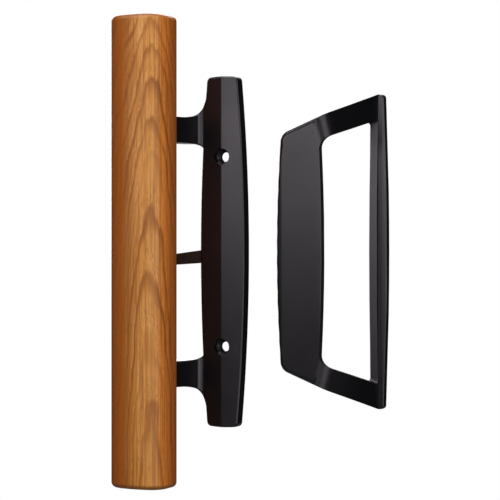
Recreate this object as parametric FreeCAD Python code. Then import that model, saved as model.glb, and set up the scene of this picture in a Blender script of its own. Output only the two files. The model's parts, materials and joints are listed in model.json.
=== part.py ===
import FreeCAD, Part
import math
import os

# Patio door handle set, in millimetres. X runs along the face of the door, Z is up, and the door
# lies behind the plane Y = 0. The origin is the middle of the two-screw pattern of the inside plate.
# Places are written as x, out, z, where out is the distance from the door towards the hand.

# Screw pattern that both handles share
screw_spacing = 100.0
screw_hole_radius = 2.5
countersink_radius = 4.35
screw_land = 1.2
screw_boss_radius = 6.6

# Inside plate
plate_height = 184.6
plate_width_mid = 26.3
plate_width_end = 17.9
plate_end_crown = 0.5
plate_corner = 2.6
plate_edge_round = 1.1
ridge_height = 6.6
ridge_drop = 1.6
ridge_round = 3.0
plate_wall = 2.2
plate_roof = 2.2

# Arms that carry the grip
arm_spacing = 128.2
arm_height = 13.8
arm_seat_width = 11.4
arm_root_x = -13.1
arm_root_fillet = 4.0
arm_root_sink = 0.06
arm_anchor_x = -8.0
arm_heel_out = 1.0
arm_heel_round = 8.0
arm_edge_round = 0.8
flare_length = 9.8
flare_rise = 17.0
inner_flare_length = 7.5
inner_flare_rise = 3.6
flare_sink = 0.3

# Wood grip
grip_height = 243.0
grip_width = 32.6
grip_depth = 22.0
grip_back_out = 28.0
grip_centre_x = -29.4
grip_crown = 3.6
grip_front_round = 10.0
grip_back_round = 4.5
grip_end_round = 2.8

# Grip screws
grip_screw_radius = 2.1
grip_screw_length = 19.0
grip_screw_point = 4.0
grip_screw_head_radius = 4.0
grip_screw_head = 2.8
grip_screw_head_round = 1.4
grip_screw_clamp = 4.0
grip_screw_play = 0.2
pilot_play = 0.03
head_well_play = 0.4
drive_radius = 1.9
drive_depth = 1.4
drive_slot = 1.0

# Latch lever with its hub
lever_droop = 5.3
lever_travel = 32.0
lever_thickness = 1.9
lever_reach = 44.0
lever_height_at_wall = 6.8
lever_height_at_tip = 4.9
lever_drop = 1.35
lever_tab_out = 12.5
lever_tab_height = 12.0
lever_tab_thickness = 2.6
lever_tab_round = 3.0
hub_radius = 8.0
hub_boss_radius = 4.9
hub_boss_back = 4.0
spigot_radius = 3.0
spigot_length = 1.8
turning_play = 0.05
lever_slot_play = 0.35

# Pocket, spring washer and retainer behind the hub
pocket_play = 0.6
pocket_pad_radius = 10.2
pad_cover = 0.3
spigot_bore_spare = 0.3
washer_sheet = 0.25
washer_height = 0.5
washer_outer_radius = 6.9
washer_inner_radius = 3.4
retainer_sheet = 1.0
retainer_out = 0.2
retainer_width = 15.6
retainer_height = 37.0
retainer_round = 5.0
retainer_screw_spacing = 29.0
retainer_screw_radius = 1.45
retainer_head_clearance = 0.1
retainer_screw_length = 4.0
retainer_post_radius = 3.3
retainer_hole_play = 0.1
small_drive_radius = 1.2
small_drive_depth = 0.9
small_drive_slot = 0.6

# Tailpiece
tail_width = 6.0
tail_thickness = 1.5
tail_length = 24.0
tail_point = 1.2
tail_seat_out = 2.2

# Outside pull: flange, leaning wall and front paddle
pull_centre_x = 87.8
pull_height = 158.9
flange_width_mid = 8.4
flange_width_end = 5.0
flange_end_crown = 0.5
flange_thickness = 3.5
flange_corner = 2.0
flange_edge_round = 0.8
pull_wall = 3.6
pull_out = 42.0
wall_foot_x = 87.4
bend_radius = 10.0
bend_corner_x = 79.4
bend_corner_slant = 0.314
arm_start_z = 50.0
wall_top_rise = 0.39
wall_top_fall = 0.183
paddle_left_x = 48.1
paddle_left_bow = 4.3
paddle_corner = 6.0
paddle_edge_round = 2.2

# Outside pull: finger window
pull_arm_height = 12.5
window_x = 72.9
window_bow = 3.1
window_top_rise = 0.378
window_top_fall = 0.164
window_foot_rise = 1.5
window_foot_end_rise = 0.1
window_foot_tilt = 8.0
window_corner = 6.5
window_foot_corner = 1.6

# Outside pull: tapped bosses that locate in the holes of the door
boss_x = 87.0
boss_radius = 2.9
boss_back = 2.0
thread_radius = 1.75
thread_depth = 4.9

# Values that follow from the sizes above
facet_slope = ridge_drop / (plate_width_mid / 2)
side_length = plate_height / 2 - plate_end_crown
hub_back_out = retainer_out + retainer_sheet + turning_play
hub_front_out = hub_back_out + lever_thickness
pocket_ceiling = hub_front_out + turning_play + washer_height
arm_z = arm_spacing / 2
screw_z = screw_spacing / 2
retainer_screw_z = retainer_screw_spacing / 2
bridge = 60.0


def at(x, out, z):
    return FreeCAD.Vector(x, -out, z)


def face(corners, place):
    """A flat face. A corner is a pair of numbers, and an arc is its middle and its end point."""
    points = [tuple(place(*p) for p in c) if isinstance(c[0], tuple) else (place(*c),) for c in corners]
    edges = []
    for before, now in zip(points[-1:] + points[:-1], points):
        if len(now) == 2:
            edges.append(Part.Arc(before[-1], now[0], now[1]).toShape())
        else:
            edges.append(Part.LineSegment(before[-1], now[0]).toShape())
    return Part.Face(Part.Wire(edges))


def along_z(corners, z0, z1):
    """A prism between two heights, from corners given as x and out."""
    flat = face(corners, lambda x, out: at(x, out, z0))
    return flat.extrude(FreeCAD.Vector(0, 0, z1 - z0))


def along_out(corners, out0, out1):
    """A prism between two distances from the door, from corners given as x and z."""
    flat = face(corners, lambda x, z: at(x, out0, z))
    return flat.extrude(FreeCAD.Vector(0, out0 - out1, 0))


def along_x(corners, x0, x1):
    """A prism between two places along the door, from corners given as out and z."""
    flat = face(corners, lambda out, z: at(x0, out, z))
    return flat.extrude(FreeCAD.Vector(x1 - x0, 0, 0))


def disc(radius, out0, out1, x=0.0, z=0.0):
    """A round bar that points away from the door."""
    return Part.makeCylinder(radius, out1 - out0, at(x, out0, z), FreeCAD.Vector(0, -1, 0))


def cone(radius0, radius1, out0, out1, x=0.0, z=0.0):
    return Part.makeCone(radius0, radius1, out1 - out0, at(x, out0, z), FreeCAD.Vector(0, -1, 0))


def box(x0, x1, out0, out1, z0, z1):
    return Part.makeBox(x1 - x0, out1 - out0, z1 - z0, at(x0, out1, z0))


def turned(shape, degrees):
    """The shape turned about the axis of the hub; a positive angle lifts the lever's free end."""
    copy = shape.copy()
    copy.rotate(FreeCAD.Vector(0, 0, 0), FreeCAD.Vector(0, 1, 0), degrees)
    return copy


def mirrored_down(shape):
    return shape.mirror(FreeCAD.Vector(0, 0, 0), FreeCAD.Vector(0, 0, 1))


def round_edges(shape, radius, wanted):
    return shape.makeFillet(radius, [e for e in shape.Edges if wanted(e)])


def runs_along(edge, axis):
    """Whether an edge is a straight one along x, y or z."""
    if edge.Curve.TypeId != "Part::GeomLine":
        return False
    step = edge.Vertexes[-1].Point - edge.Vertexes[0].Point
    return abs(abs(getattr(step, axis)) - edge.Length) < 1e-6


def rounded(points, radii):
    """Corners for face(), with an arc of the given radius in place of each sharp corner."""
    corners = []
    count = len(points)
    for i, radius in enumerate(radii):
        here = FreeCAD.Vector(*points[i], 0)
        if radius == 0:
            corners.append((here.x, here.y))
            continue
        back = (FreeCAD.Vector(*points[i - 1], 0) - here).normalize()
        ahead = (FreeCAD.Vector(*points[(i + 1) % count], 0) - here).normalize()
        half = back.getAngle(ahead) / 2
        bisector = (back + ahead).normalize()
        centre = here + bisector * (radius / math.sin(half))
        start = here + back * (radius / math.tan(half))
        end = here + ahead * (radius / math.tan(half))
        middle = centre - bisector * radius
        corners += [(start.x, start.y), ((middle.x, middle.y), (end.x, end.y))]
    return corners


def bowed_outline(x, half_mid, half_end, half_height, crown):
    """Four arcs: two long sides that bow outwards and two slightly crowned ends."""
    left, right = x - half_end, x + half_end
    return [
        ((x + half_mid, 0), (right, half_height)),
        ((x, half_height + crown), (left, half_height)),
        ((x - half_mid, 0), (left, -half_height)),
        ((x, -half_height - crown), (right, -half_height)),
    ]


def bow_at(z, middle, end, length):
    """The half width at z of a side that bows from middle at z = 0 to end at z = length."""
    sag = middle - end
    radius = (length**2 + sag**2) / (2 * sag)
    return middle - radius + math.sqrt(radius**2 - z**2)


def facet_out(x):
    """How far the ridged front of the inside plate stands from the door at x."""
    return ridge_height - facet_slope * abs(x)


def plate_body(inset, roof_drop, corner):
    """The ridged, bowed body of the plate, or the smaller one that hollows it."""
    half_mid = plate_width_mid / 2 - inset
    half_end = plate_width_end / 2 - inset
    outline = bowed_outline(0, half_mid, half_end, side_length - inset, plate_end_crown)
    blank = along_out(outline, 0, ridge_height)
    blank = round_edges(blank, corner, lambda e: runs_along(e, "y"))
    wide = plate_width_mid
    eaves = facet_out(wide) - roof_drop
    gable = [(-wide, 0), (wide, 0), (wide, eaves), (0, ridge_height - roof_drop), (-wide, eaves)]
    return blank.common(along_z(gable, -plate_height, plate_height))


def plate_shell():
    """The plate as a hollow casting, open towards the door."""
    body = plate_body(0, 0, plate_corner)
    body = round_edges(body, ridge_round, lambda e: runs_along(e, "z") and abs(e.CenterOfMass.x) < 1e-6)
    in_front = -plate_wall
    body = round_edges(
        body,
        plate_edge_round,
        lambda e: e.CenterOfMass.y < in_front and not runs_along(e, "z") and e.BoundBox.YLength < 2,
    )
    return body.cut(plate_body(plate_wall, plate_roof, plate_corner / 2))


def arm_profile():
    """The upper arm seen from above: fillet on the plate, lean, seat for the grip and heel."""
    root = (arm_root_x, facet_out(arm_root_x) - arm_root_sink)
    seat = grip_centre_x + arm_seat_width / 2
    lean = (root[0] - seat) / (grip_back_out - root[1])
    heel = root[0] - arm_seat_width - lean * (arm_heel_out - root[1])
    points = [
        (arm_anchor_x, arm_heel_out),
        (arm_anchor_x, facet_out(arm_anchor_x) - arm_root_sink),
        root,
        (seat, grip_back_out),
        (seat - arm_seat_width, grip_back_out),
        (heel, arm_heel_out),
    ]
    return rounded(points, [0, 0, arm_root_fillet, 0, 0, arm_heel_round])


def oval(x, z, along, up):
    """An oval bar that points away from the door, from its half lengths along x and z."""
    middle, side, top = at(x, 0, z), at(x + along, 0, z), at(x, 0, z + up)
    curve = Part.Ellipse(side, top, middle) if along > up else Part.Ellipse(top, side, middle)
    return Part.Face(Part.Wire(curve.toShape())).extrude(at(0, bridge, 0))


def arm():
    """The upper arm, with its long outer flare and short inner flare along the plate's edge."""
    top, bottom = arm_z + arm_height / 2, arm_z - arm_height / 2
    flare_top, flare_bottom = top + flare_rise, bottom - inner_flare_rise
    outer_x = flare_sink - bow_at(flare_top, plate_width_mid / 2, plate_width_end / 2, side_length)
    outer_x -= flare_length
    inner_x = flare_sink - bow_at(bottom, plate_width_mid / 2, plate_width_end / 2, side_length)
    inner_x -= inner_flare_length
    bar = box(-bridge, arm_anchor_x, 0, bridge, bottom, top)
    outer = box(outer_x, arm_anchor_x, 0, bridge, top, flare_top)
    outer = outer.cut(oval(outer_x, flare_top, flare_length, flare_rise))
    inner = box(inner_x, arm_anchor_x, 0, bridge, flare_bottom, bottom)
    inner = inner.cut(oval(inner_x, flare_bottom, inner_flare_length, inner_flare_rise))
    plan = bar.fuse([outer, inner]).removeSplitter()
    profile = along_z(arm_profile(), flare_bottom, flare_top)
    solid = profile.common(plan)
    long_edges = [
        e
        for e in solid.Edges
        if min(abs(e.CenterOfMass.z - top), abs(e.CenterOfMass.z - bottom)) < 1e-6
        and e.Curve.TypeId == "Part::GeomLine"
        and e.BoundBox.YLength > grip_back_out / 3
    ]
    return solid.makeFillet(arm_edge_round, long_edges)


def screw_hole_cutters(z):
    """A countersunk hole through the ridge, for a mounting screw."""
    rim_out = screw_land + countersink_radius - screw_hole_radius
    return [
        disc(screw_hole_radius, -1, screw_land, z=z),
        cone(screw_hole_radius, countersink_radius, screw_land, rim_out, z=z),
        disc(countersink_radius, rim_out, bridge, z=z),
    ]


def grip_screw_cutters():
    """Screw hole and slanting well for the head, in the upper arm."""
    seat = grip_back_out - grip_screw_clamp
    hole = grip_screw_radius + grip_screw_play
    well = grip_screw_head_radius + head_well_play
    return [
        disc(hole, 0, grip_back_out + 1, grip_centre_x, arm_z),
        disc(well, 0, seat, grip_centre_x, arm_z),
    ]


def lever_slot():
    """The notch in the left wall, open at the back so that the lever drops in, that stops it."""
    travel = math.radians(lever_travel)
    wall = plate_width_mid / 2
    reach = wall * math.tan(travel) + lever_half_height(wall) / math.cos(travel) + lever_slot_play
    low, high = -reach - lever_drop / math.cos(travel), reach - lever_drop / math.cos(travel)
    return box(-plate_width_mid, -hub_radius / 2, -1, hub_front_out + lever_slot_play, low, high)


def interior_plate():
    """Plate and both arms, one hollow casting, with its bosses, pocket and holes."""
    upper = arm()
    inside_roof = ridge_height - plate_roof / 2
    bosses = [disc(pocket_pad_radius, pocket_ceiling, facet_out(pocket_pad_radius) - pad_cover)]
    for z in (screw_z, -screw_z):
        bosses.append(disc(screw_boss_radius, 0, inside_roof, z=z))
    for z in (retainer_screw_z, -retainer_screw_z):
        bosses.append(disc(retainer_post_radius, retainer_out + retainer_sheet, inside_roof, z=z))
    body = plate_shell().fuse([upper, mirrored_down(upper)] + bosses).removeSplitter()
    cutters = [lever_slot(), disc(hub_radius + pocket_play, -1, pocket_ceiling)]
    bore = hub_front_out + spigot_length + spigot_bore_spare
    cutters.append(disc(spigot_radius + turning_play, 0, bore))
    for z in (screw_z, -screw_z):
        cutters += screw_hole_cutters(z)
    for z in (retainer_screw_z, -retainer_screw_z):
        depth = retainer_out + retainer_screw_length + spigot_bore_spare
        cutters.append(disc(retainer_screw_radius + pilot_play, 0, depth, z=z))
    wells = grip_screw_cutters()
    cutters += wells + [mirrored_down(w) for w in wells]
    return body.cut(cutters)


def wood_grip():
    """Bar with a flat back and a crowned front, its long edges and its ends rounded."""
    left, right = grip_centre_x - grip_width / 2, grip_centre_x + grip_width / 2
    front = grip_back_out + grip_depth
    shoulder = front - grip_crown
    section = [
        (right, grip_back_out),
        (right, shoulder),
        ((grip_centre_x, front), (left, shoulder)),
        (left, grip_back_out),
    ]
    top = grip_height / 2
    bar = along_z(section, -top, top)
    behind = -shoulder + 1
    bar = round_edges(bar, grip_back_round, lambda e: runs_along(e, "z") and e.CenterOfMass.y > behind)
    bar = round_edges(bar, grip_front_round, lambda e: runs_along(e, "z") and e.CenterOfMass.y < behind)
    bar = round_edges(bar, grip_end_round, lambda e: abs(e.CenterOfMass.z) > top - 0.01)
    depth = grip_back_out - grip_screw_clamp + grip_screw_length + pilot_play
    pilot = disc(grip_screw_radius + pilot_play, 0, depth, grip_centre_x, arm_z)
    return bar.cut([pilot, mirrored_down(pilot)])


def grip_screw():
    """The upper pan head wood screw; its thread is left plain."""
    seat = grip_back_out - grip_screw_clamp
    tip = seat + grip_screw_length
    back = seat - grip_screw_head
    head = disc(grip_screw_head_radius, back, seat, grip_centre_x, arm_z)
    head = round_edges(head, grip_screw_head_round, lambda e: abs(e.CenterOfMass.y + back) < 0.01)
    shank = disc(grip_screw_radius, seat, tip - grip_screw_point, grip_centre_x, arm_z)
    point = cone(grip_screw_radius, 0, tip - grip_screw_point, tip, grip_centre_x, arm_z)
    screw = head.fuse([shank, point]).removeSplitter()
    return screw.cut(cross_recess(grip_centre_x, arm_z, back, drive_radius, drive_depth, drive_slot))


def lever_half_height(reach):
    """Half the height of the lever's bar, at a distance from the hub's axis."""
    wall, tip = plate_width_mid / 2, lever_reach
    share = (reach - wall) / (tip - wall)
    return (lever_height_at_wall + (lever_height_at_tip - lever_height_at_wall) * share) / 2


def tailpiece():
    """The flat steel bar pressed into the hub, its far end chamfered."""
    half = tail_width / 2
    outline = [
        (tail_seat_out, half),
        (tail_point - tail_length, half),
        (-tail_length, half - tail_point),
        (-tail_length, tail_point - half),
        (tail_point - tail_length, -half),
        (tail_seat_out, -half),
    ]
    blade = along_x(outline, -tail_thickness / 2, tail_thickness / 2)
    return turned(blade, -lever_droop)


def latch_lever():
    """Hub, boss, spigot, tapered bar and upturned finger tab, one casting."""
    root, tip = lever_half_height(0), lever_half_height(lever_reach)
    inner_x = lever_tab_thickness - lever_reach
    elbow = [
        (0, hub_back_out),
        (0, hub_front_out),
        (inner_x, hub_front_out),
        (inner_x, lever_tab_out),
        (-lever_reach, lever_tab_out),
        (-lever_reach, hub_back_out),
    ]
    inside = lever_tab_round - lever_thickness / 2
    elbow = rounded(elbow, [0, 0, inside, 0, 0, lever_tab_round])
    wide = lever_tab_height / 2
    middle = -lever_drop
    elbow = along_z(elbow, middle - wide, middle + wide)
    upper, lower = (-lever_reach, middle + tip), (-lever_reach, middle - tip)
    taper = along_out([(0, middle - root), (0, middle + root), upper, lower], 0, bridge)
    shoulder = hub_front_out + lever_tab_round
    tab_view = [
        (hub_back_out, middle - tip),
        (hub_back_out, middle + tip),
        (shoulder, middle + wide),
        (lever_tab_out, middle + wide),
        (lever_tab_out, middle - wide),
        (shoulder, middle - wide),
    ]
    tab_view = rounded(tab_view, [0, 0] + 4 * [lever_tab_round])
    tab = elbow.common(along_x(tab_view, -lever_reach, inner_x + inside))
    bar = elbow.common(taper)
    hub = disc(hub_radius, hub_back_out, hub_front_out)
    boss = disc(hub_boss_radius, -hub_boss_back, hub_back_out)
    spigot = disc(spigot_radius, hub_front_out, hub_front_out + spigot_length)
    lever = bar.fuse([hub, boss, spigot, tab]).removeSplitter()
    wide, thick = tail_width / 2, tail_thickness / 2
    lever = lever.cut(box(-thick, thick, -bridge, tail_seat_out, -wide, wide))
    return turned(lever, -lever_droop)


def lever_washer():
    """A curved spring washer: a ring cut from a bent sheet, its crown on the pocket's ceiling."""
    ring = disc(washer_outer_radius, hub_front_out, pocket_ceiling)
    ring = ring.cut(disc(washer_inner_radius, 0, bridge))
    sag = washer_height - washer_sheet
    bend = (washer_outer_radius**2 + sag**2) / (2 * sag)
    axis = at(0, pocket_ceiling - bend, -bridge)
    up = FreeCAD.Vector(0, 0, 1)
    sheet = Part.makeCylinder(bend, 2 * bridge, axis, up)
    sheet = sheet.cut(Part.makeCylinder(bend - washer_sheet, 2 * bridge, axis, up))
    return ring.common(sheet)


def cross_recess(x, z, back, reach, depth, slot):
    """The recess for a driver, cut into a screw head from behind."""
    half = slot / 2
    level = box(x - reach, x + reach, back - 1, back + depth, z - half, z + half)
    upright = box(x - half, x + half, back - 1, back + depth, z - reach, z + reach)
    return level.fuse(upright)


def retainer_screw(z, play=0.0):
    """A flat head screw through the retainer, or with some play the hole for it."""
    depth = retainer_sheet - retainer_head_clearance
    head, shank = retainer_screw_radius + depth + play, retainer_screw_radius + play
    neck = retainer_out + depth
    end = retainer_out + retainer_screw_length
    return cone(head, shank, retainer_out, neck, z=z).fuse(disc(shank, neck, end, z=z)).removeSplitter()


def retainer_screws():
    """Both screws of the retainer, with their recesses."""
    screws = []
    for z in (retainer_screw_z, -retainer_screw_z):
        recess = cross_recess(0, z, retainer_out, small_drive_radius, small_drive_depth, small_drive_slot)
        screws.append(retainer_screw(z).cut(recess))
    return Part.makeCompound(screws)


def lever_retainer():
    """The stamped plate that holds the hub in its pocket, its hole the rear bearing of the hub."""
    wide, tall = retainer_width / 2, retainer_height / 2
    points = [(-wide, -tall), (wide, -tall), (wide, tall), (-wide, tall)]
    plate = along_out(rounded(points, 4 * [retainer_round]), retainer_out, retainer_out + retainer_sheet)
    holes = [disc(hub_boss_radius + turning_play, -1, bridge)]
    holes += [retainer_screw(z, retainer_hole_play) for z in (retainer_screw_z, -retainer_screw_z)]
    return plate.cut(holes)


def wall_section(corner_x, z):
    """Wall and paddle of the outside pull seen from above, as the wire of one closed outline."""
    foot = FreeCAD.Vector(wall_foot_x, flange_thickness, 0)
    corner = FreeCAD.Vector(corner_x, pull_out, 0)
    up = (corner - foot).normalize()
    inward = FreeCAD.Vector(-up.y, up.x, 0) * pull_wall
    low = foot - up * (flange_thickness / 2)
    inner_low = low + inward
    inner_out = pull_out - pull_wall
    inner_corner = inner_low + up * ((inner_out - inner_low.y) / up.y)
    left = paddle_left_x - pull_wall
    points = [
        (low.x, low.y),
        (corner.x, corner.y),
        (left, pull_out),
        (left, inner_out),
        (inner_corner.x, inner_corner.y),
        (inner_low.x, inner_low.y),
    ]
    corners = rounded(points, [0, bend_radius, 0, 0, bend_radius - pull_wall, 0])
    return face(corners, lambda x, out: at(x, out, z)).OuterWire


def between_planes(height, rise, fall):
    """The space between two mirrored planes, of that half height at the wall's foot on the flange."""
    slope = math.hypot(rise, fall)
    foot = at(wall_foot_x, flange_thickness, 0)
    uphill = at(rise, -fall, 0) / slope
    level = FreeCAD.Vector(-uphill.y, uphill.x, 0)
    reach = 2 * bridge
    low, high = height - slope * reach, height + slope * reach
    corners = [(-reach, -low), (-reach, low), (reach, high), (reach, -high)]
    start = foot - level * reach
    flat = face(corners, lambda along, z: start + uphill * along + FreeCAD.Vector(0, 0, z))
    return flat.extrude(level * 2 * reach)


def bowed_front(edge_x, bow, front):
    """A block to the right of an upright edge that bows to edge_x in the middle, up to a front plane."""
    half, far = pull_height / 2, 2 * pull_centre_x
    end_x = edge_x + bow
    outline = [(end_x, -half), ((edge_x, 0), (end_x, half)), (far, half), (far, -half)]
    return along_out(outline, -1, front)


def corner_edges(solid, edge_x, length):
    """The edges where the bowed side meets the two tilted planes."""
    return [
        e
        for e in solid.Edges
        if e.BoundBox.YLength > length
        and abs(e.CenterOfMass.z) > pull_height / 4
        and e.CenterOfMass.x < edge_x
    ]


def pull_limits():
    """The outline that the outside pull's wall and paddle stay within, rounded round the front."""
    limit = between_planes(pull_height / 2, wall_top_rise, wall_top_fall)
    limit = limit.common(bowed_front(paddle_left_x, paddle_left_bow, pull_out))
    edge_x = paddle_left_x + paddle_left_bow
    limit = limit.makeFillet(paddle_corner, corner_edges(limit, edge_x, pull_out / 2))
    front = [
        e
        for e in limit.Edges
        if abs(e.BoundBox.YMin + pull_out) < 0.01
        and e.BoundBox.YLength < 0.01
        and e.CenterOfMass.x < wall_foot_x
    ]
    return limit.makeFillet(paddle_edge_round, front)


def finger_window():
    """What is cut out of the wall, rounded in the corners."""
    half = pull_height / 2 - pull_arm_height
    tool = between_planes(half, window_top_rise, window_top_fall)
    tool = tool.common(bowed_front(window_x, -window_bow, bridge))
    tool = tool.makeFillet(window_corner, corner_edges(tool, window_x, bridge / 2))
    tool = tool.common(above_foot())
    foot, up = at(wall_foot_x, flange_thickness, 0), window_foot_up()
    foot_edges = [
        e
        for e in tool.Edges
        if abs((e.CenterOfMass - foot).dot(up) - window_foot_end_rise) < 0.5
        and abs(e.CenterOfMass.z) > half / 2
        and e.BoundBox.ZLength < 0.3 * half
    ]
    return tool.makeFillet(window_foot_corner, foot_edges)


def window_foot_up():
    """The direction that the window's foot faces, turned a little to the right of straight out."""
    tilt = math.radians(window_foot_tilt)
    return at(math.sin(tilt), math.cos(tilt), 0)


def above_foot():
    """What lies above the window's foot, which bows up in the middle."""
    foot, up = at(wall_foot_x, flange_thickness, 0), window_foot_up()
    across = FreeCAD.Vector(-up.y, up.x, 0)
    far, half = 2 * bridge, pull_height / 2 - pull_arm_height
    corners = [
        (window_foot_end_rise, -half),
        ((window_foot_rise, 0), (window_foot_end_rise, half)),
        (far, half),
        (far, -half),
    ]
    flat = face(corners, lambda rise, z: foot - across * bridge + up * rise + FreeCAD.Vector(0, 0, z))
    return flat.extrude(across * 2 * bridge)


def exterior_pull():
    """Flange, leaning wall, bend and front paddle, one casting."""
    start, end = arm_start_z, pull_height / 2
    lower_wire = wall_section(bend_corner_x, start)
    upper_wire = wall_section(bend_corner_x - bend_corner_slant * (end - start), end)
    upper = Part.makeLoft([lower_wire, upper_wire], True, True)
    middle = Part.Face(wall_section(bend_corner_x, -start)).extrude(FreeCAD.Vector(0, 0, 2 * start))
    wall = middle.fuse([upper, mirrored_down(upper)]).common(pull_limits())
    wall = wall.cut(finger_window())
    flange_outline = bowed_outline(
        pull_centre_x,
        flange_width_mid / 2,
        flange_width_end / 2,
        pull_height / 2 - flange_end_crown,
        flange_end_crown,
    )
    flange = along_out(flange_outline, 0, flange_thickness)
    flange = round_edges(flange, flange_corner, lambda e: runs_along(e, "y"))
    flange = round_edges(flange, flange_edge_round, lambda e: e.BoundBox.YMax < -flange_thickness + 0.01)
    bosses = [disc(boss_radius, -boss_back, flange_thickness / 2, boss_x, z) for z in (screw_z, -screw_z)]
    body = wall.fuse([flange] + bosses).removeSplitter()
    thread_end = thread_depth - boss_back
    return body.cut([disc(thread_radius, -boss_back, thread_end, boss_x, z) for z in (screw_z, -screw_z)])


def main():
    os.makedirs("parts", exist_ok=True)
    upper_screw = grip_screw()
    nodes = {
        "interior_plate": interior_plate(),
        "wood_grip": wood_grip(),
        "grip_screw_upper": upper_screw,
        "grip_screw_lower": mirrored_down(upper_screw),
        "latch_lever": latch_lever(),
        "tailpiece": tailpiece(),
        "lever_washer": lever_washer(),
        "lever_retainer": lever_retainer(),
        "retainer_screws": retainer_screws(),
        "exterior_pull": exterior_pull(),
    }
    for name, shape in nodes.items():
        shape.exportStep(f"parts/{name}.step")
        print(name, "valid" if shape.isValid() else "NOT VALID", len(shape.Solids), round(shape.Volume, 1))


main()
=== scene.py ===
import bpy
import bmesh
import json
import math
import numpy as np
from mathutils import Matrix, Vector


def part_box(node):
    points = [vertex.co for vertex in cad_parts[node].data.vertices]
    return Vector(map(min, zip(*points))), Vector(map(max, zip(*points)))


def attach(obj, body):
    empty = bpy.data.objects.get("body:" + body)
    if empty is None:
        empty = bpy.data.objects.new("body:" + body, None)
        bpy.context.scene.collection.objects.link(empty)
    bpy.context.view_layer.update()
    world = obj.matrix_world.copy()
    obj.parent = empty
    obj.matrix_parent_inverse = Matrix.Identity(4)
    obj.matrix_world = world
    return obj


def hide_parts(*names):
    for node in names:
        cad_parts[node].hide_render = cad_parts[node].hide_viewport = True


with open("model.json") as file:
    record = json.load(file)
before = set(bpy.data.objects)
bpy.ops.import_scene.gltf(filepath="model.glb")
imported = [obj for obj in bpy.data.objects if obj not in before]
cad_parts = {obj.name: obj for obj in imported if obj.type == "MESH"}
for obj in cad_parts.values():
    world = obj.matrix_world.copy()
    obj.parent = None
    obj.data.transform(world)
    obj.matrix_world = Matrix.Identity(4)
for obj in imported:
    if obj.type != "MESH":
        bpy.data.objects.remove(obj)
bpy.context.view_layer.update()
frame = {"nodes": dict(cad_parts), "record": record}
nodes = frame["nodes"]
mm = 0.001


# small helpers for shader nodes

def link(tree, source, target):
    tree.links.new(source, target)


def addNode(tree, kind, **values):
    # a node with some of its inputs set by name
    node = tree.nodes.new(kind)
    for name, value in values.items():
        node.inputs[name].default_value = value
    return node


def mathNode(tree, operation, first, second=None, third=None, clamp=False):
    # each operand is a number or an output of another node
    node = tree.nodes.new("ShaderNodeMath")
    node.operation = operation
    node.use_clamp = clamp
    for socket, value in zip(node.inputs, (first, second, third)):
        if isinstance(value, (int, float)):
            socket.default_value = value
        elif value is not None:
            link(tree, value, socket)
    return node.outputs[0]


def smoothStep(tree, value, low, high):
    # 0 below low, 1 above high, with an eased step between
    node = tree.nodes.new("ShaderNodeMapRange")
    node.interpolation_type = "SMOOTHSTEP"
    link(tree, value, node.inputs["Value"])
    node.inputs["From Min"].default_value = low
    node.inputs["From Max"].default_value = high
    return node.outputs["Result"]


def leastPlus(tree, value, least, gain):
    # the least, plus the value times its gain
    return mathNode(tree, "MULTIPLY_ADD", value, gain, least)


def aroundMean(tree, value, mean, spread):
    # a value from 0 to 1, made to vary over the spread round its mean
    return mathNode(tree, "MULTIPLY_ADD", value, spread, mean - spread / 2)


def mixColor(tree, factor, first, second, blend="MIX"):
    node = tree.nodes.new("ShaderNodeMix")
    node.data_type = "RGBA"
    node.blend_type = blend
    # inputs 0, 6 and 7 are the factor and the two colours
    for index, value in ((0, factor), (6, first), (7, second)):
        socket = node.inputs[index]
        if isinstance(value, bpy.types.NodeSocket):
            link(tree, value, socket)
        else:
            socket.default_value = value
    return node.outputs[2]


def greyColor(tree, value):
    node = tree.nodes.new("ShaderNodeCombineColor")
    for socket in node.inputs:
        link(tree, value, socket)
    return node.outputs[0]


def objectMillimetres(tree, stretch=(1.0, 1.0, 1.0)):
    # Object coordinates in millimetres, stretched by a factor for each axis
    coords = tree.nodes.new("ShaderNodeTexCoord")
    mapping = addNode(tree, "ShaderNodeMapping", Scale=tuple(factor / mm for factor in stretch))
    link(tree, coords.outputs["Object"], mapping.inputs["Vector"])
    return mapping.outputs["Vector"]


def noiseValue(tree, stretch, scale, detail, roughness):
    # a noise is given by its stretch of X, Y and Z, its waves in a mm, its detail and its roughness
    node = addNode(tree, "ShaderNodeTexNoise", Scale=scale, Detail=detail, Roughness=roughness)
    link(tree, objectMillimetres(tree, stretch), node.inputs["Vector"])
    return node.outputs["Fac"]


def bumpFrom(tree, height, strength, distance):
    node = addNode(tree, "ShaderNodeBump", Strength=strength, Distance=distance)
    link(tree, height, node.inputs["Height"])
    return node.outputs["Normal"]


def newMaterial(name):
    material = bpy.data.materials.new(name)
    material.use_nodes = True
    tree = material.node_tree
    return material, tree, tree.nodes["Principled BSDF"]


def newGroup(name, inputs, outputs):
    group = bpy.data.node_groups.new(name, "ShaderNodeTree")
    for label, value in inputs.items():
        socket = group.interface.new_socket(label, in_out="INPUT", socket_type="NodeSocketFloat")
        socket.default_value = value
    for label in outputs:
        group.interface.new_socket(label, in_out="OUTPUT", socket_type="NodeSocketFloat")
    return group, group.nodes.new("NodeGroupInput"), group.nodes.new("NodeGroupOutput")


# the coat that the castings and the lever share

powderCoat = {
    "fine": ((1.0, 1.0, 1.0), 3.2, 3.0, 0.55),    # noise of the orange peel
    "fineShare": 0.6,
    "soft": ((1.0, 1.0, 1.0), 0.9, 2.0, 0.5),     # wider waves beneath it
    "drift": ((1.0, 1.0, 1.0), 0.06, 3.0, 0.6),   # slow drifts of the gloss
}


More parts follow.
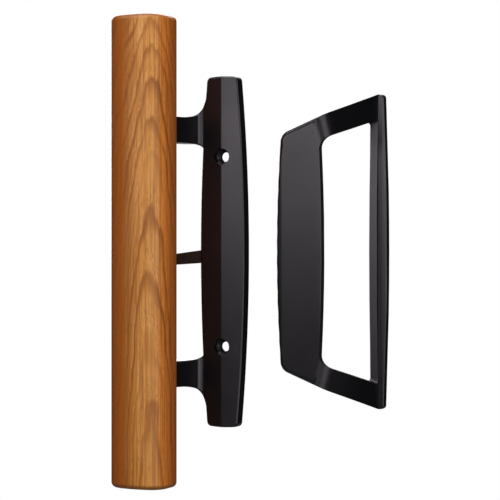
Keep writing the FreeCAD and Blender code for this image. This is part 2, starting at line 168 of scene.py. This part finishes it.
def makeCoatTexture(look):
    # height is the soft noise plus a share of the fine one, gloss a slow noise round zero
    group, source, result = newGroup("coatTexture", {"Drift": 1.0}, ("Height", "Gloss"))
    fine = noiseValue(group, *look["fine"])
    soft = noiseValue(group, *look["soft"])
    drift = mathNode(group, "SUBTRACT", noiseValue(group, *look["drift"]), 0.5)
    height = mathNode(group, "MULTIPLY_ADD", fine, look["fineShare"], soft)
    gloss = mathNode(group, "MULTIPLY", drift, source.outputs["Drift"])
    link(group, height, result.inputs["Height"])
    link(group, gloss, result.inputs["Gloss"])
    return group


coatTexture = makeCoatTexture(powderCoat)


def addCoat(tree, shader, look):
    # the coat's gloss drifts and its peel bends the light
    coat = tree.nodes.new("ShaderNodeGroup")
    coat.node_tree = coatTexture
    coat.inputs["Drift"].default_value = look["drift"]
    gloss = coat.outputs["Gloss"]
    roughness = leastPlus(tree, gloss, look["roughness"], look["driftRoughness"])
    link(tree, roughness, shader.inputs["Roughness"])
    normal = bumpFrom(tree, coat.outputs["Height"], look["peelStrength"], look["peelDepth"])
    link(tree, normal, shader.inputs["Normal"])
    return gloss


# black casting of both handles

blackCasting = {
    "color": (0.0021, 0.0020, 0.0025, 1),
    "liftedColor": (0.0038, 0.0036, 0.0042, 1),
    "roughness": 0.30,
    "specular": 0.5,
    "gleam": (1.0, 0.92, 1.0, 1),    # tint of its reflections
    "drift": 0.5,                    # how strongly the gloss drifts
    "driftRoughness": 0.16,          # how much roughness that makes
    "peelStrength": 0.35,
    "peelDepth": 0.00002,            # metres
}


def makeBlackCasting(look):
    material, tree, shader = newMaterial("blackCasting")
    gloss = addCoat(tree, shader, look)
    tint = mathNode(tree, "ADD", gloss, 0.5, clamp=True)
    color = mixColor(tree, tint, look["color"], look["liftedColor"])
    link(tree, color, shader.inputs["Base Color"])
    shader.inputs["Specular IOR Level"].default_value = look["specular"]
    shader.inputs["Specular Tint"].default_value = look["gleam"]
    return material


# dark lever

darkLever = {
    "color": (0.0125, 0.0100, 0.0088, 1),
    "roughness": 0.4,
    "drift": 0.7,
    "driftRoughness": 0.2,
    "peelStrength": 0.4,
    "peelDepth": 0.00003,
}


def makeDarkLever(look):
    material, tree, shader = newMaterial("darkLever")
    addCoat(tree, shader, look)
    shader.inputs["Base Color"].default_value = look["color"]
    return material


# zinc plated steel of the hidden hardware

platedSteel = {
    "color": (0.53, 0.52, 0.49, 1),
    "tint": (0.60, 0.55, 0.42, 1),                     # yellowish patches of the plating
    "patches": ((1.0, 1.0, 1.0), 0.22, 3.0, 0.55),     # their noise
    "patchEdge": (0.4, 0.7),
    "roughness": 0.3,
    "roughnessSpread": 0.2,
    "brush": ((2.5, 2.5, 0.25), 1.0, 3.0, 0.6),        # noise of the brushed lines, long along Z
    "brushStrength": 0.3,
    "brushDepth": 0.00001,                             # metres
}


def makePlatedSteel(look):
    material, tree, shader = newMaterial("platedSteel")
    patches = noiseValue(tree, *look["patches"])
    patchy = smoothStep(tree, patches, *look["patchEdge"])
    link(tree, mixColor(tree, patchy, look["color"], look["tint"]), shader.inputs["Base Color"])
    shader.inputs["Metallic"].default_value = 1.0
    roughness = aroundMean(tree, patches, look["roughness"], look["roughnessSpread"])
    link(tree, roughness, shader.inputs["Roughness"])
    brushed = noiseValue(tree, *look["brush"])
    normal = bumpFrom(tree, brushed, look["brushStrength"], look["brushDepth"])
    link(tree, normal, shader.inputs["Normal"])
    return material


# lacquered wood

lacqueredWood = {
    # the rings
    "heart": -18.8,                  # X in mm of the line that the arches of the grain stand on
    "depth": 6.0,                    # mm from that line's surface to the middle of the rings
    "spacing": 3.6,                  # mm between two rings
    "sway": 7.0,                     # mm that the line of the arches sways to both sides
    "climb": 0.130,                  # how fast the rings climb along the grip, which makes arches
    "climbGain": 0.00036,            # how much faster they climb towards the top
    "straighten": 0.5,               # share of the climb that is lost away from the arches
    "straightenAt": (7.0, 26.0),     # mm from the arches between which it is lost
    "wrap": 0.8,                     # how fast the rings go on round the sides
    "wrapFrom": 44.0,                # mm from the door where that starts, going back
    "wrapBend": 5.0,                 # mm over which it starts softly
    "drifts": {                      # mm that each of these noises moves the rings
        "wander": 3.2,
        "wiggle": 1.5,
        "uneven": 4.2,
        "fringe": 1.2,
    },
    # their lines; a shape says where a line rises and where it drops, as shares of its ring
    "lateShape": ((0.38, 0.80), (0.82, 1.0)),
    "lateStrength": (0.16, 0.65),    # the least, and what chance adds
    "linesPerRing": 2.0,             # finer lines of growth
    "innerShape": ((0.3, 0.7), (0.75, 1.0)),
    "innerStrength": (0.13, 0.36),   # the least, and what is added left of the arches
    "innerSide": (5.0, 12.0),        # mm left of them between which it is added
    "patchStrength": (0.3, 1.5),     # where the lines nearly fade out, and what the patches add
    # the colours
    "pale": (0.55, 0.262, 0.075, 1),
    "middle": (0.490, 0.202, 0.038, 1),
    "blotchEdge": (0.32, 0.68),
    # colour of the right side: partly the wood's own redder tone, partly painted light, lighter
    # than the tone alone
    "flankToneAndLight": (0.60, 0.165, 0.024, 1),
    "flankToneAndLightAt": (-17.6, -13.0),    # X in mm between which the right side takes the redder tone with painted light
    "flankToneAndLightShare": 0.9,
    # the deepest colour: partly a real darker stain at the edges, partly painted shade
    "edge": (0.235, 0.050, 0.0045, 1),
    "leftStainAndShade": (21.0, 39.0),       # mm left of the middle between which the stain and its painted shade deepen
    "sideStainAndShade": (-41.0, -28.0),     # Y in mm between which it deepens round the sides
    "stainAndShadeLoss": 0.17,               # taken off that stain and painted shade everywhere
    "stainAndShadeThreads": 0.35,            # what the threads add to it
    "endGrain": (0.15, 0.042, 0.007, 1),
    "endStain": (118.6, 120.9),      # Z in mm, up and down, between which the end grain takes more
    "endShare": 0.8,
    "line": (0.225, 0.070, 0.0105, 1),
    "streaks": {                     # dark streaks: step of their noise, and share
        "threads": ((0.48, 0.75), 0.4),
        "lines": ((0.52, 0.62), 0.5),
    },
    "pore": (0.13, 0.040, 0.009, 1),
    "poreEdge": (0.54, 0.64),
    "poreRing": (0.15, 0.45),        # share of a ring over which the pores thin out
    "poreCrowd": (0.25, 0.75),       # those left, and those added where a ring starts
    "poreShare": 0.55,
    "shade": (0.87, 0.36),           # brightness between the fibres, and what a fibre adds
    # the surface
    "roughness": 0.42,
    "roughnessSpread": 0.14,
    "specular": 0.2,
    "coat": 0.06,
    "coatRoughness": 0.25,
    "poreSink": 0.8,
    "grainStrength": 0.18,
    "grainDepth": 0.00006,           # metres
    "noises": {
        "wander": ((1.0, 1.0, 0.2), 0.07, 2.0, 0.5),       # rings drift along the grip
        "wiggle": ((1.0, 1.0, 0.1), 0.4, 3.0, 0.6),        # they waver from line to line
        "uneven": ((0.02, 0.02, 1.0), 0.031, 1.0, 0.5),    # the spacing of the arches varies
        "fringe": ((1.0, 1.0, 0.06), 1.5, 3.0, 0.6),       # a ring's edge frays along the fibres
        "sway": ((0.0, 0.0, 1.0), 0.017, 1.0, 0.5),
        "patches": ((1.0, 1.0, 0.25), 0.16, 2.0, 0.5),
        "blotch": ((1.0, 1.0, 0.3), 0.09, 3.0, 0.55),
        "fibres": ((1.0, 1.0, 0.035), 2.4, 4.0, 0.65),
        "threads": ((1.0, 1.0, 0.03), 0.62, 3.0, 0.6),     # coarser than the fibres
        "lines": ((1.0, 1.0, 0.016), 1.25, 2.0, 0.5),      # long thin streaks
        "pores": ((1.0, 1.0, 0.09), 3.4, 2.0, 0.5),
    },
}


def woodRings(tree, look, noise, x, y, z):
    # count of rings: root of across squared plus depth squared, plus the climb along the grip, the
    # way round its sides and the drifts, all over the spacing; across is measured from the swaying
    # line of the arches
    sway = mathNode(tree, "SUBTRACT", noise["sway"], 0.5)
    sway = mathNode(tree, "MULTIPLY", sway, look["sway"])
    across = mathNode(tree, "ADD", mathNode(tree, "SUBTRACT", x, look["heart"]), sway)
    rings = mathNode(tree, "MULTIPLY_ADD", across, across, look["depth"] ** 2)
    rings = mathNode(tree, "SQRT", rings)
    away = smoothStep(tree, mathNode(tree, "ABSOLUTE", across), *look["straightenAt"])
    kept = leastPlus(tree, away, 1.0, -look["straighten"])
    climb = leastPlus(tree, z, look["climb"], look["climbGain"])
    climb = mathNode(tree, "MULTIPLY", climb, kept)
    rings = mathNode(tree, "MULTIPLY_ADD", z, climb, rings)
    behind = mathNode(tree, "ADD", y, look["wrapFrom"])
    behind = mathNode(tree, "SMOOTH_MAX", behind, 0.0, look["wrapBend"])
    rings = mathNode(tree, "MULTIPLY_ADD", behind, look["wrap"], rings)
    for name, amount in look["drifts"].items():
        rings = mathNode(tree, "MULTIPLY_ADD", noise[name], amount, rings)
    return mathNode(tree, "DIVIDE", rings, look["spacing"]), across


def ringLine(tree, phase, rise, drop):
    # deepens to 1 over the rise and falls back to 0 over the drop
    falling = mathNode(tree, "SUBTRACT", 1.0, smoothStep(tree, phase, *drop))
    return mathNode(tree, "MULTIPLY", smoothStep(tree, phase, *rise), falling)


def woodLines(tree, look, noise, rings, phase, across):
    # late wood deepens each ring towards its end, strongly or weakly by chance; finer lines of
    # growth lie between, clearest left of the arches; both nearly fade out in patches
    chance = tree.nodes.new("ShaderNodeTexWhiteNoise")
    chance.noise_dimensions = "1D"
    link(tree, mathNode(tree, "FLOOR", rings), chance.inputs["W"])
    strength = leastPlus(tree, chance.outputs["Value"], *look["lateStrength"])
    late = mathNode(tree, "MULTIPLY", ringLine(tree, phase, *look["lateShape"]), strength)
    finer = mathNode(tree, "FRACT", mathNode(tree, "MULTIPLY", rings, look["linesPerRing"]))
    aside = smoothStep(tree, mathNode(tree, "MULTIPLY", across, -1.0), *look["innerSide"])
    strength = leastPlus(tree, aside, *look["innerStrength"])
    inner = mathNode(tree, "MULTIPLY", ringLine(tree, finer, *look["innerShape"]), strength)
    patchy = leastPlus(tree, noise["patches"], *look["patchStrength"])
    return mathNode(tree, "MULTIPLY", mathNode(tree, "ADD", late, inner), patchy)


def woodStainAndLight(tree, look, noise, x, y, z):
    # two tones in blotches; the right side takes a redder tone lightened with painted light, the
    # left side and the back a deeper stain darkened further with painted shade, and the end grain
    # is darkest
    blotch = smoothStep(tree, noise["blotch"], *look["blotchEdge"])
    color = mixColor(tree, blotch, look["pale"], look["middle"])
    # the right side takes a redder colour that is partly its own tone and partly painted light
    flankToneAndLight = smoothStep(tree, x, *look["flankToneAndLightAt"])
    flankToneAndLight = mathNode(tree, "MULTIPLY", flankToneAndLight, look["flankToneAndLightShare"])
    color = mixColor(tree, flankToneAndLight, color, look["flankToneAndLight"])
    # darker towards the left side and the back: partly a deeper stain, partly painted shade
    left = smoothStep(tree, mathNode(tree, "MULTIPLY", x, -1.0), *look["leftStainAndShade"])
    deep = mathNode(tree, "MAXIMUM", left, smoothStep(tree, y, *look["sideStainAndShade"]))
    deep = mathNode(tree, "SUBTRACT", deep, look["stainAndShadeLoss"])
    deep = mathNode(tree, "MULTIPLY_ADD", noise["threads"], look["stainAndShadeThreads"], deep, clamp=True)
    color = mixColor(tree, deep, color, look["edge"])
    ends = smoothStep(tree, mathNode(tree, "ABSOLUTE", z), *look["endStain"])
    ends = mathNode(tree, "MULTIPLY", ends, look["endShare"])
    return mixColor(tree, ends, color, look["endGrain"])


def woodPores(tree, look, noise, phase):
    # short dark dashes that crowd where a ring starts
    early = mathNode(tree, "SUBTRACT", 1.0, smoothStep(tree, phase, *look["poreRing"]))
    crowd = leastPlus(tree, early, *look["poreCrowd"])
    return mathNode(tree, "MULTIPLY", smoothStep(tree, noise["pores"], *look["poreEdge"]), crowd)


def makeLacqueredWood(look):
    material, tree, shader = newMaterial("lacqueredWood")
    split = tree.nodes.new("ShaderNodeSeparateXYZ")
    link(tree, objectMillimetres(tree), split.inputs[0])
    x, y, z = split.outputs
    noise = {name: noiseValue(tree, *field) for name, field in look["noises"].items()}
    rings, across = woodRings(tree, look, noise, x, y, z)
    phase = mathNode(tree, "FRACT", rings)
    color = woodStainAndLight(tree, look, noise, x, y, z)
    lines = woodLines(tree, look, noise, rings, phase, across)
    color = mixColor(tree, lines, color, look["line"])
    for name, (step, share) in look["streaks"].items():
        streak = mathNode(tree, "MULTIPLY", smoothStep(tree, noise[name], *step), share)
        color = mixColor(tree, streak, color, look["line"])
    pores = woodPores(tree, look, noise, phase)
    dots = mathNode(tree, "MULTIPLY", pores, look["poreShare"])
    color = mixColor(tree, dots, color, look["pore"])
    shade = greyColor(tree, leastPlus(tree, noise["fibres"], *look["shade"]))
    color = mixColor(tree, 1.0, color, shade, "MULTIPLY")
    link(tree, color, shader.inputs["Base Color"])
    roughness = aroundMean(tree, noise["fibres"], look["roughness"], look["roughnessSpread"])
    link(tree, roughness, shader.inputs["Roughness"])
    shader.inputs["Specular IOR Level"].default_value = look["specular"]
    shader.inputs["Coat Weight"].default_value = look["coat"]
    shader.inputs["Coat Roughness"].default_value = look["coatRoughness"]
    sunken = mathNode(tree, "MULTIPLY", pores, look["poreSink"])
    height = mathNode(tree, "SUBTRACT", noise["fibres"], sunken)
    normal = bumpFrom(tree, height, look["grainStrength"], look["grainDepth"])
    link(tree, normal, shader.inputs["Normal"])
    return material


finishes = {
    "black_casting": makeBlackCasting(blackCasting),
    "oiled_wood": makeLacqueredWood(lacqueredWood),
    "dark_lever": makeDarkLever(darkLever),
    "plated_steel": makePlatedSteel(platedSteel),
}
slotOf = {part["node"]: part["material_slot"] for part in frame["record"]["subparts"]}
for name, node in nodes.items():
    node.data.materials.clear()
    node.data.materials.append(finishes[slotOf[name]])
print("materials on", len(nodes), "nodes")


# new pieces, each a surface worked out on a grid in mm

creaseAngle = 32.0    # degrees, above which an edge of a new piece stays sharp


def anglesRound(columns):
    return np.linspace(0, 2 * math.pi, columns, endpoint=False)[None, :]


def pointsRound(radius, y, angle, centre):
    # a radius and a Y for each row and angle, carried round the line along Y through the centre
    x = centre[0] + radius * np.cos(angle)
    z = centre[1] + radius * np.sin(angle)
    return np.stack([x, y, z], axis=-1) * mm


def gridMesh(name, points, closeRows=False):
    # rows by columns of points; the columns run round, and open rows are capped at both ends by a
    # fan from the middle point of the end row
    rows, columns = points.shape[:2]
    place = np.arange(rows * columns).reshape(rows, columns)
    lower = place if closeRows else place[:-1]
    upper = np.roll(place, -1, axis=0) if closeRows else place[1:]
    ring = [lower, np.roll(lower, -1, axis=1), np.roll(upper, -1, axis=1), upper]
    faces = np.stack(ring, axis=-1).reshape(-1, 4).tolist()
    vertices = points.reshape(-1, 3)
    if not closeRows:
        first, last = len(vertices), len(vertices) + 1
        vertices = np.concatenate([vertices, [points[0].mean(axis=0), points[-1].mean(axis=0)]])
        start = [np.full(columns, first), np.roll(place[0], -1), place[0]]
        finish = [np.full(columns, last), place[-1], np.roll(place[-1], -1)]
        faces += np.stack(start, axis=-1).tolist() + np.stack(finish, axis=-1).tolist()
    mesh = bpy.data.meshes.new(name)
    mesh.from_pydata(vertices.tolist(), [], faces)
    return mesh


def addPiece(name, meshes, slot, body):
    # joins the meshes into one object, turns its faces outwards and lets it ride on a body
    joined = bmesh.new()
    for mesh in meshes:
        joined.from_mesh(mesh)
        bpy.data.meshes.remove(mesh)
    bmesh.ops.recalc_face_normals(joined, faces=joined.faces)
    result = bpy.data.meshes.new(name)
    joined.to_mesh(result)
    joined.free()
    result.shade_smooth()
    result.set_sharp_from_angle(angle=math.radians(creaseAngle))
    result.materials.append(finishes[slot])
    piece = bpy.data.objects.new(name, result)
    bpy.context.scene.collection.objects.link(piece)
    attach(piece, body)
    return piece


def ridge(turns, width):
    # one thread for each whole turn: 1 on its crest, falling straight to 0 on both sides
    return np.clip(1 - np.abs((turns % 1.0) - 0.5) / width, 0, 1)


# screws with a cross recess and a thread

screwDetail = {
    "domeStart": 0.02,      # radius of the dome's first row, as a share of its last one
    "wingCurve": 2.2,       # power by which a wing of the recess gets shallower towards its tip
    "wingSide": 0.28,       # share of the slot over which a wing's side rises
    "threadOnPoint": 0.25,  # share of the point that keeps a whole thread
    "pointCurve": 0.8,      # power of the point's taper, where 1 is a plain cone
    "tipRadius": 0.12,      # mm
}

gripScrew = {
    "columns": 96, "domeRows": 30, "rowsPerTurn": 14,
    "head": 2.8, "headRadius": 4.0, "length": 21.8,
    "domeRadius": 2.9, "domeRise": 0.5,
    "rim": [(3.35, 0.62), (3.72, 0.98), (3.93, 1.45), (4.0, 1.95),    # radius and depth
            (3.98, 2.62), (3.85, 2.8), (2.1, 2.8)],
    "driveRadius": 1.95, "driveDepth": 1.4, "driveSlot": 0.95,
    "shankRadius": 2.1, "rootRadius": 1.5, "pitch": 1.8, "threadWidth": 0.34,
    "runOut": 3.0, "point": 4.0,
}

retainerScrew = {
    "columns": 72, "domeRows": 24, "rowsPerTurn": 12,
    "head": 0.9, "headRadius": 2.35, "length": 4.0,
    "domeRadius": 2.2, "domeRise": 0.0,
    "rim": [(2.3, 0.02), (2.34, 0.06), (1.45, 0.9)],
    "driveRadius": 1.2, "driveDepth": 0.85, "driveSlot": 0.6,
    "shankRadius": 1.45, "rootRadius": 1.12, "pitch": 0.6, "threadWidth": 0.42,
    "runOut": 0.5, "point": 0.3,
}


def crossRecess(across, up, radius, slot):
    # two crossed wings, deepest in the middle, shallower towards their tips, steep at their sides
    def wing(along, beside):
        run = np.clip(1 - (np.abs(along) / radius) ** screwDetail["wingCurve"], 0, 1)
        side = (slot / 2 - np.abs(beside)) / (screwDetail["wingSide"] * slot)
        return run * np.clip(side + 0.5, 0, 1)
    return np.maximum(wing(across, up), wing(up, across))


def screwMesh(name, look, centre, headTop):
    # radius and depth by row and angle: a dome that falls with its radius squared, less the recess,
    # then the rim, then the shank, whose core tapers to the point and carries the thread
    angle = anglesRound(look["columns"])
    dome = np.linspace(screwDetail["domeStart"], 1, look["domeRows"])[:, None]
    dome = dome * look["domeRadius"] + 0 * angle
    cut = crossRecess(dome * np.cos(angle), dome * np.sin(angle),
                      look["driveRadius"], look["driveSlot"])
    domeDepth = look["domeRise"] * (dome / look["headRadius"]) ** 2 + look["driveDepth"] * cut
    rim = np.array(look["rim"])
    rimRadius = rim[:, :1] + 0 * angle
    rimDepth = rim[:, 1:] + 0 * angle
    shank = look["length"] - look["head"]
    rows = int(look["rowsPerTurn"] * shank / look["pitch"])
    down = np.linspace(0, 1, rows)[:, None] * shank + 0 * angle
    started = np.clip(down / look["runOut"], 0, 1)
    pointLeft = (shank - down) / look["point"]
    taper = np.clip(pointLeft, 0, 1) ** screwDetail["pointCurve"]
    threadHeight = look["shankRadius"] - look["rootRadius"]
    core = look["rootRadius"] + threadHeight * np.clip(1 - down / look["runOut"], 0, 1)
    core = screwDetail["tipRadius"] + (core - screwDetail["tipRadius"]) * taper
    fade = started * np.clip(pointLeft + screwDetail["threadOnPoint"], 0, 1)
    turns = down / look["pitch"] - angle / (2 * math.pi)
    shankRadius = core + threadHeight * fade * taper * ridge(turns, look["threadWidth"])
    radius = np.concatenate([dome, rimRadius, shankRadius])
    depth = np.concatenate([domeDepth, rimDepth, look["head"] + down])
    return gridMesh(name, pointsRound(radius, headTop - depth, angle, centre))


def makeScrews():
    for name in ("grip_screw_upper", "grip_screw_lower"):
        low, high = (np.array(corner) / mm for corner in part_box(name))
        middle = ((low[0] + high[0]) / 2, (low[2] + high[2]) / 2)
        mesh = screwMesh(name + "_thread", gripScrew, middle, high[1])
        piece = addPiece(name + "_detailed", [mesh], "plated_steel", "handles")
        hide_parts(name)
    low, high = (np.array(corner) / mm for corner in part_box("retainer_screws"))
    inset = retainerScrew["headRadius"]
    meshes = [screwMesh("retainer_thread", retainerScrew, ((low[0] + high[0]) / 2, z), high[1])
              for z in (low[2] + inset, high[2] - inset)]
    piece = addPiece("retainer_screws_detailed", meshes, "plated_steel", "handles")
    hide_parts("retainer_screws")


# threads in the outside pull's two bosses

bossThread = {
    "places": [(87.0, 50.0), (87.0, -50.0)],    # X and Z of the two tapped bosses
    "back": 1.9, "front": -2.8,                 # Y of the threads' two ends
    "bore": 1.79, "height": 0.34, "pitch": 0.7, "threadWidth": 0.42,
    "ends": 1 / 12,                             # share of the length over which a thread runs out
    "sleeve": 0.05,                             # how far the sleeve sits in the wall of its bore
    "columns": 72, "rowsPerTurn": 10,
}


def makeBossThreads(look):
    # a thin sleeve in each bore: its inner radius is the bore less the thread's ridge, its outer
    # one lies just inside the casting
    count = int(look["rowsPerTurn"] * (look["back"] - look["front"]) / look["pitch"])
    angle = anglesRound(look["columns"])
    share = np.linspace(0, 1, count)[:, None] + 0 * angle
    y = look["back"] + (look["front"] - look["back"]) * share
    fade = np.clip(np.minimum(share, 1 - share) / look["ends"], 0, 1)
    turns = y / look["pitch"] - angle / (2 * math.pi)
    inner = look["bore"] - look["height"] * fade * ridge(turns, look["threadWidth"])
    outer = np.full_like(inner, look["bore"] + look["sleeve"])
    radius = np.concatenate([inner, outer])
    depth = np.concatenate([y, y[::-1]])
    meshes = [gridMesh("boss_thread", pointsRound(radius, depth, angle, centre), closeRows=True)
              for centre in look["places"]]
    addPiece("boss_threads", meshes, "black_casting", "handles")


# marks of the mould's pins on the back of the paddle

ejectorMark = {
    "places": [(60.0, 46.0), (58.5, 0.0), (60.0, -46.0)],    # X and Z
    "face": -38.4,                                           # Y of the back of the paddle
    "profile": [(0.3, 0.04), (1.9, 0.04), (2.1, 0.06),       # radius and height
                (2.25, 0.15), (2.45, 0.16), (2.6, 0.08), (2.7, -0.2)],
    "columns": 48,
}


def makeEjectorMarks(look):
    # a profile carried round: a flat disc inside a low raised rim
    angle = anglesRound(look["columns"])
    profile = np.array(look["profile"])
    radius = profile[:, :1] + 0 * angle
    y = look["face"] + profile[:, 1:] + 0 * angle
    meshes = [gridMesh("ejector_mark", pointsRound(radius, y, angle, centre))
              for centre in look["places"]]
    addPiece("ejector_marks", meshes, "black_casting", "handles")


# the outside pull with the soft edges of a casting

roundedPull = {
    "merge": 0.01,          # mm between points that are one
    "flatAngle": 1.0,       # degrees between faces that are one flat face
    "sharpAngle": 24.0,     # degrees from which an edge is rounded
    "round": 0.45,          # mm
    "segments": 3,
    "fullness": 0.5,        # shape of the rounding, where 0.5 is a part of a circle
}


def makeRoundedPull(look):
    # a merged copy of the node's triangles, with its flat faces joined and its sharp edges rounded
    copy = bmesh.new()
    copy.from_mesh(nodes["exterior_pull"].data)
    bmesh.ops.remove_doubles(copy, verts=copy.verts, dist=look["merge"] * mm)
    bmesh.ops.dissolve_limit(copy, angle_limit=math.radians(look["flatAngle"]),
                             verts=copy.verts, edges=copy.edges, delimit=set())
    sharpAngle = math.radians(look["sharpAngle"])
    sharp = [edge for edge in copy.edges
             if len(edge.link_faces) == 2 and edge.calc_face_angle() > sharpAngle]
    bmesh.ops.bevel(copy, geom=sharp, offset=look["round"] * mm, offset_type="OFFSET",
                    segments=look["segments"], profile=look["fullness"], affect="EDGES",
                    clamp_overlap=True)
    mesh = bpy.data.meshes.new("rounded_pull")
    copy.to_mesh(mesh)
    copy.free()
    piece = addPiece("exterior_pull_rounded", [mesh], "black_casting", "handles")
    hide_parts("exterior_pull")
    weighted = piece.modifiers.new("evenNormals", "WEIGHTED_NORMAL")
    weighted.keep_sharp = True


makeScrews()
makeBossThreads(bossThread)
makeEjectorMarks(ejectorMark)
makeRoundedPull(roundedPull)
print("screws, threads, mould marks and rounded pull")


# stage, lights and camera

stage = {
    "skyColor": (1, 1, 1, 1),                # what the camera sees behind the object
    "fillColor": (0.93, 0.95, 1.0, 1),       # what lights it from all around
    "fillStrength": 0.02,
    "floorDrop": 0.40,                       # metres below the middle of the object
    "floorHalf": 1.00,                       # metres from the floor's middle to its edges
    "floorColor": (0.88, 0.88, 0.89, 1),
    "floorRoughness": 0.9,
    "bounceColor": (0.17, 0.17, 0.175, 1),   # what the object gets back from the floor
    "evenness": 0.90,                        # share of its colour that no lamp or shadow changes
}


def mixShaders(tree, factor, first, second, result):
    mix = tree.nodes.new("ShaderNodeMixShader")
    for socket, source in zip(mix.inputs, (factor, first, second)):
        link(tree, source, socket)
    link(tree, mix.outputs[0], result)


def makeWorld(look):
    # the camera sees a white sky, and the object gets a weak fill light
    world = bpy.data.worlds.new("studio")
    bpy.context.scene.world = world
    world.use_nodes = True
    tree = world.node_tree
    tree.nodes.clear()
    seen = addNode(tree, "ShaderNodeBackground", Color=look["skyColor"], Strength=1.0)
    fill = addNode(tree, "ShaderNodeBackground", Color=look["fillColor"],
                   Strength=look["fillStrength"])
    cameraRay = tree.nodes.new("ShaderNodeLightPath").outputs["Is Camera Ray"]
    surface = tree.nodes.new("ShaderNodeOutputWorld").inputs["Surface"]
    mixShaders(tree, cameraRay, fill.outputs[0], seen.outputs[0], surface)


def makePaleFloor(look):
    # the camera sees it mostly at its own pale colour, with a faint shadow of the object
    material, tree, shader = newMaterial("paleFloor")
    cameraRay = tree.nodes.new("ShaderNodeLightPath").outputs["Is Camera Ray"]
    color = mixColor(tree, cameraRay, look["bounceColor"], look["floorColor"])
    link(tree, color, shader.inputs["Base Color"])
    shader.inputs["Roughness"].default_value = look["floorRoughness"]
    shader.inputs["Specular IOR Level"].default_value = 0.0
    pale = addNode(tree, "ShaderNodeEmission", Color=look["floorColor"], Strength=1.0)
    share = mathNode(tree, "MULTIPLY", cameraRay, look["evenness"])
    surface = tree.nodes["Material Output"].inputs["Surface"]
    mixShaders(tree, share, shader.outputs[0], pale.outputs[0], surface)
    return material


def makeStage(look):
    makeWorld(look)
    half, low = look["floorHalf"], -look["floorDrop"]
    corners = [(-half, -half, low), (half, -half, low), (half, half, low), (-half, half, low)]
    mesh = bpy.data.meshes.new("floor")
    mesh.from_pydata(corners, [], [(0, 1, 2, 3)])
    floor = bpy.data.objects.new("floor", mesh)
    bpy.context.scene.collection.objects.link(floor)
    mesh.materials.append(makePaleFloor(look))


# azimuth and height in degrees, distance in metres, size in metres, power in watts
lamps = {
    "lowStrip": (-11.4, 8.0, 1.05, (0.685, 0.107), 1.59),     # these two make the sheen
    "softWall": (15.4, -1.7, 1.05, (0.666, 0.397), 1.39),
    "highLeft": (-30, 58, 1.0, (0.9, 0.5), 6.0),
    "highRight": (22, 64, 1.0, (1.0, 0.5), 8.6),
    "rightSide": (48, 2, 1.0, (0.55, 0.9), 3.9),              # gleam of the bends
    "lowBack": (-145, 14, 1.0, (0.5, 0.5), 4.0),
    "behind": (-170, 50, 1.0, (0.6, 0.4), 9.0),
}


def makeLamps(looks):
    # each lamp stands round the object at its azimuth and height and looks at its middle
    for name, (azimuth, height, away, size, power) in looks.items():
        data = bpy.data.lights.new(name, "AREA")
        data.shape = "RECTANGLE"
        data.size, data.size_y = size
        data.energy = power
        lamp = bpy.data.objects.new(name, data)
        bpy.context.scene.collection.objects.link(lamp)
        turn, lift = math.radians(azimuth), math.radians(height)
        level = math.cos(lift)
        toward = Vector((math.sin(turn) * level, -math.cos(turn) * level, math.sin(lift)))
        lamp.location = toward * away
        lamp.rotation_euler = toward.to_track_quat("Z", "Y").to_euler()
        lamp.visible_camera = False


photoCamera = {
    "azimuth": 26.0,                      # degrees round the object, level with it
    "distance": 0.9,                      # metres
    "target": (0.0137, 0.0, 0.0009),      # metres
    "lens": 123.4,                        # mm
    "sensor": 36.0,                       # mm
    "nearest": 0.01,                      # metres
}


def makeCamera(look):
    data = bpy.data.cameras.new("photoCamera")
    data.lens = look["lens"]
    data.sensor_width = look["sensor"]
    data.clip_start = look["nearest"]
    camera = bpy.data.objects.new("photoCamera", data)
    bpy.context.scene.collection.objects.link(camera)
    angle = math.radians(look["azimuth"])
    away = Vector((math.sin(angle), -math.cos(angle), 0))
    camera.location = Vector(look["target"]) + away * look["distance"]
    camera.rotation_euler = (math.radians(90), 0, angle)
    bpy.context.scene.camera = camera


makeStage(stage)
makeLamps(lamps)
makeCamera(photoCamera)
bpy.context.scene.view_settings.view_transform = "Standard"
print("stage, lights and camera")
